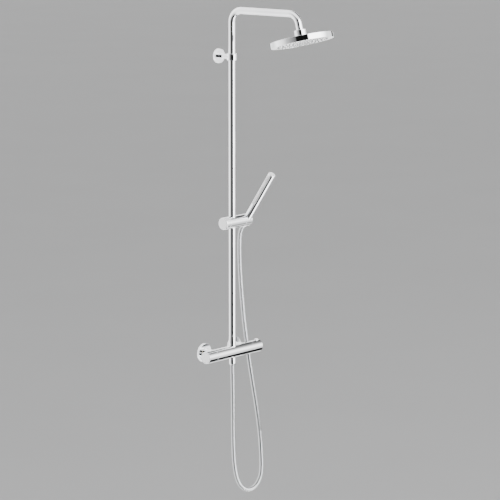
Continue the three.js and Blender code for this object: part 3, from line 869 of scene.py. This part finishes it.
def make_holder():
    """The slider's right end, with a leaning hole for the hand shower that is open towards the room."""
    at = place(0, AXIS_Y, SLIDER_Z, axis="x")
    outline = [
        (27.4, 0), (27.4, 6), (50.4, 6), (50.4, SLIDER_R, 0.5), (HOLDER_END, SLIDER_R, 1.2),
        (HOLDER_END, 0),
    ]
    rest = carved(
        lathe(outline, at, BAR_SIDES), rod(20, 46, 2.5, at, 32),
        rod(HAND_FOOT - 0.3, 60, HAND_R + 0.35, hand_frame), rod(-60, HAND_FOOT, 10.8, hand_frame),
        block((0, -8, -60), (30, 8, 60), hand_frame),
    )
    piece("hand_shower_rest", rest, "holder", CHROME, ["hand_shower_holder"])


make_slider()
make_holder()


# ---- hand shower -----------------------------------------------------------------------------------
STRIP_GAP = 0.35
STRIP_R = HAND_R - 0.05
STRIP_DEPTH = 3.4
FIRST_ROW = 3.6
ROW_PITCH = 6.4
ROW_ANGLES = (-0.40, -0.13, 0.13, 0.40)
HOLLOW_DEPTH = 0.55
STRIP_COLUMNS, STRIP_ROWS = 25, 281


def strip_insert(low, high):
    """The curved insert between two places along the tube, with a hollow between its rows of nozzles."""
    mesh = bmesh.new()
    angles = np.linspace(-STRIP_ANGLE, STRIP_ANGLE, STRIP_COLUMNS)
    heights = np.linspace(low, high, STRIP_ROWS)
    layers = []
    for depth in (0, STRIP_DEPTH):
        rows = []
        for s in heights:
            ripple = 0.5 - 0.5 * math.cos(2 * math.pi * (s - low - FIRST_ROW) / ROW_PITCH)
            radius = STRIP_R - depth - HOLLOW_DEPTH * ripple**3
            row = []
            for angle in angles:
                spot = Vector((-radius * math.cos(angle), radius * math.sin(angle), s))
                row.append(mesh.verts.new(hand_frame @ spot))
            rows.append(row)
        layers.append(rows)
    for rows in layers:
        for near, far in zip(rows, rows[1:]):
            for k in range(len(angles) - 1):
                mesh.faces.new((near[k], near[k + 1], far[k + 1], far[k]))
    outer, inner = layers
    for end in (0, -1):
        for k in range(len(angles) - 1):
            mesh.faces.new((outer[end][k], outer[end][k + 1], inner[end][k + 1], inner[end][k]))
    for k in (0, -1):
        for i in range(len(heights) - 1):
            mesh.faces.new((outer[i][k], outer[i + 1][k], inner[i + 1][k], inner[i][k]))
    bmesh.ops.recalc_face_normals(mesh, faces=mesh.faces)
    return mesh


def make_spray_strip():
    """The grey insert in the tube's left side, with rows of four small nozzles across it."""
    low, high = STRIP_LOW + STRIP_GAP, STRIP_HIGH - STRIP_GAP
    insert = strip_insert(low, high)
    nozzle = [(-0.6, 0), (-0.6, 1.25), (0, 1.25), (0.9, 0.95, 0.2), (0.9, 0.45), (0.2, 0.35), (0.2, 0)]
    tips = []
    for s in np.arange(low + FIRST_ROW, high - 2, ROW_PITCH):
        for angle in ROW_ANGLES:
            outward = Vector((-math.cos(angle), math.sin(angle), 0))
            spot = Matrix.Translation(outward * STRIP_R + Vector((0, 0, s)))
            turn = outward.to_track_quat("Z", "Y").to_matrix().to_4x4()
            tips.append(lathe(nozzle, hand_frame @ spot @ turn, 12))
    mesh = joined(insert, *tips)
    piece("spray_strip_insert", mesh, "hand_shower", STRIP_GREY, ["spray_strip"])


def make_hand_shower():
    crown = [(HAND_TIP - 1.1 * (r / 9) ** 2, r) for r in (1.5, 3, 4.5, 6, 7.5, 9)]
    tube = [
        (HAND_TIP, 0), *crown, (HAND_TIP - 1.6, HAND_R, 2.4), (HAND_FOOT, HAND_R, 0.4), (HAND_FOOT, 10.3),
        (194, 10.3), (194, 0),
    ]
    half = HAND_R * math.sin(STRIP_ANGLE) + STRIP_GAP
    window = block((-15, -half, STRIP_LOW), (-5, half, STRIP_HIGH), hand_frame)
    shape = carved(lathe(tube, hand_frame, BAR_SIDES), window)
    stick = piece("hand_shower_stick", shape, "hand_shower", CHROME, ["hand_shower_tube"])
    brush_end(stick, hand_frame.to_3x3() @ Vector((0, 0, 1)))


def make_upper_nut():
    nut = [
        (-14.4, 9), (-14.4, 10.2, 0.4), (-21, 10.2, 1.0), (-28, 8.5, 0.6), (-28, 7.3), (-26.2, 7.3),
        (-26.2, 9),
    ]
    piece("upper_hose_nut", lathe(nut, hand_frame, 96), "hose_end", CHROME, ["hose_nut_upper"])


make_hand_shower()
make_spray_strip()
make_upper_nut()


# ---- stage: floor, surroundings and lights ---------------------------------------------------------
def make_floor():
    mesh = bpy.data.meshes.new("floor")
    half, z = 90.0, -1.05
    corners = [(-half, -half, z), (half, -half, z), (half, half, z), (-half, half, z)]
    mesh.from_pydata(corners, [], [(0, 1, 2, 3)])
    floor = bpy.data.objects.new("floor", mesh)
    bpy.context.scene.collection.objects.link(floor)
    nodes = Nodes("floor_pale")
    cloud = nodes.noise(1.3, detail=5)
    nodes.drive("Base Color", nodes.ramp(cloud, (0.47, 0.472, 0.475), (0.48, 0.482, 0.485)))
    nodes.fix(Roughness=0.9)
    mesh.materials.append(nodes.material)
    floor.visible_glossy = False


# How bright the tent is all round, as headings in degrees and levels. Heading 0 is the photographer's
# side, where the tent is open and dark. One list is for looking down, the other for looking up.
TENT_BELOW = [
    (-180, 3), (-128, 2), (-106, 3.6), (-75, 2.2), (-60, 1.1), (-41, 0.28), (-23, 0.07), (0, 0.01),
    (36, 0.01), (43, 7.5), (84, 7.5), (106, 2.6), (138, 2.4), (146, 0.03), (163, 0.03), (169, 3), (180, 3),
]
TENT_ABOVE = [
    (-180, 3), (-106, 3.4), (-81, 2.2), (-60, 1.0), (-41, 0.5), (-25, 0.27), (-22, 0.01), (21, 0.01),
    (24, 8), (75, 7.5), (106, 2.2), (138, 2.4), (146, 0.03), (163, 0.03), (169, 3), (180, 3),
]
TENT_ROOF = 2.6
HORIZON_BAND = (-0.08, 0.08)
ROOF_BAND = (0.62, 0.74)
# Darker patches: the direction of each, the two angles of its soft edge in degrees, and its depth.
TENT_SHADES = [
    ((0.744, 0.08, 0.66), 42, 10, 0.87), ((0.744, -0.55, -0.40), 32, 8, 0.6),
    ((0.744, -0.25, -0.62), 16, 6, 0.55),
]
EVEN_LIGHT = 0.8
BACKGROUND_LEVEL = 0.475


def make_world():
    """A white tent with a dark gap on the photographer's side, for mirrors. The rest meets even light."""
    world = bpy.data.worlds.new("studio")
    world.use_nodes = True
    bpy.context.scene.world = world
    tree = world.node_tree
    background = tree.nodes["Background"]
    direction = tree.nodes.new("ShaderNodeTexCoord").outputs["Generated"]

    def dot(vector):
        node = tree.nodes.new("ShaderNodeVectorMath")
        node.operation = "DOT_PRODUCT"
        node.inputs[1].default_value = vector
        tree.links.new(direction, node.inputs[0])
        return node.outputs["Value"]

    def fade(value, start, stop):
        node = tree.nodes.new("ShaderNodeMapRange")
        node.interpolation_type = "SMOOTHSTEP"
        node.inputs["From Min"].default_value = start
        node.inputs["From Max"].default_value = stop
        tree.links.new(value, node.inputs["Value"])
        return node.outputs["Result"]

    def maths(operation, first, second):
        node = tree.nodes.new("ShaderNodeMath")
        node.operation = operation
        for socket, value in zip(node.inputs, (first, second)):
            if isinstance(value, (int, float)):
                socket.default_value = value
            else:
                tree.links.new(value, socket)
        return node.outputs["Value"]

    def mix(share, low, high):
        node = tree.nodes.new("ShaderNodeMix")
        node.data_type = "FLOAT"
        tree.links.new(share, node.inputs["Factor"])
        for key, value in (("A", low), ("B", high)):
            if isinstance(value, (int, float)):
                node.inputs[key].default_value = value
            else:
                tree.links.new(value, node.inputs[key])
        return node.outputs["Result"]

    def around(heading, stops):
        """A brightness that follows the stops, each a heading in degrees and its level."""
        turn = maths("ADD", maths("DIVIDE", heading, 2 * math.pi), 0.5)
        node = tree.nodes.new("ShaderNodeValToRGB")
        ends = node.color_ramp.elements
        while len(ends) < len(stops):
            ends.new(0.5)
        for end, (degrees, level) in zip(ends, stops):
            end.position = degrees / 360 + 0.5
            end.color = (level, level, level, 1)
        tree.links.new(turn, node.inputs["Fac"])
        return node.outputs["Color"]

    def shade(level, towards, wide, narrow, depth):
        """The level, darker within a cone round a direction. Two angles in degrees bound the soft edge."""
        outer, inner = math.cos(math.radians(wide)), math.cos(math.radians(narrow))
        edge = fade(dot(Vector(towards).normalized()), outer, inner)
        return maths("MULTIPLY", level, maths("SUBTRACT", 1.0, maths("MULTIPLY", edge, depth)))

    flat = Vector((towards_camera.x, towards_camera.y, 0)).normalized()
    right = Vector((-flat.y, flat.x, 0))
    height = dot(Vector((0, 0, 1)))
    heading = maths("ARCTAN2", dot(right), dot(flat))
    below = around(heading, TENT_BELOW)
    above = around(heading, TENT_ABOVE)
    level = mix(fade(height, *HORIZON_BAND), below, above)
    level = mix(fade(height, *ROOF_BAND), level, TENT_ROOF)
    for patch in TENT_SHADES:
        level = shade(level, *patch)

    # Only mirror-like surfaces see the tent's pattern; matt ones and the camera meet an even, pale light.
    path = tree.nodes.new("ShaderNodeLightPath")
    background.inputs["Color"].default_value = (1, 1, 1, 1)
    even = mix(path.outputs["Is Camera Ray"], EVEN_LIGHT, BACKGROUND_LEVEL)
    tree.links.new(mix(path.outputs["Is Glossy Ray"], even, level), background.inputs["Strength"])


def make_light(name, location, size, power, aim=(0, -0.1, 0.4)):
    light = bpy.data.lights.new(name, "AREA")
    light.shape = "DISK"
    light.size = size
    light.energy = power
    lamp = bpy.data.objects.new(name, light)
    bpy.context.scene.collection.objects.link(lamp)
    lamp.location = location
    lamp.rotation_euler = (Vector(location) - Vector(aim)).to_track_quat("Z", "Y").to_euler()
    lamp.visible_camera = False
    lamp.visible_glossy = False


def mirror_card(name, centre, along, across, colour, glow):
    """A card that only mirrors see. Two vectors run from its centre to the middles of its sides."""
    corners = [centre + along * x + across * y for x, y in ((-1, -1), (1, -1), (1, 1), (-1, 1))]
    mesh = bpy.data.meshes.new(name)
    mesh.from_pydata(corners, [], [(0, 1, 2, 3)])
    card = bpy.data.objects.new(name, mesh)
    bpy.context.scene.collection.objects.link(card)
    nodes = Nodes(name)
    nodes.fix(Base_Color=colour, Roughness=1.0, Emission_Color=(1, 1, 1, 1), Emission_Strength=glow)
    nodes.shader.inputs["Specular IOR Level"].default_value = 0
    mesh.materials.append(nodes.material)
    card.visible_camera = False
    card.visible_diffuse = False
    card.visible_shadow = False


def make_cards():
    """A black card low beside the bar draws its lower dark line. A white one lights the stick's tip."""
    along = Vector((1, 0, 0))
    towards = Vector((0.744, -0.25, -0.62)).normalized()
    across = along.cross(towards).normalized()
    centre = Vector((0, AXIS_Y * MM, 0)) + towards * 0.42
    mirror_card("flag_black", centre, along * 0.3, across * 0.115, (0.006, 0.006, 0.007, 1), 0.0)

    tip = hand_frame @ Vector((0, 0, HAND_TIP)) * MM
    towards = Vector((0.744, 0.071, 0.663)).normalized()
    side = Vector((0, 1, 0)).cross(towards).normalized()
    half, away = 0.06, 0.12
    mirror_card(
        "tip_reflector", tip + towards * away, side * half, towards.cross(side) * half, (0, 0, 0, 1), 2.6,
    )


make_floor()
make_cards()
make_world()
make_light("key_light", (2.6, -4.2, 4.4), 2.4, 160)
make_light("fill_light", (-4.5, 1.5, 3.2), 2.8, 90)
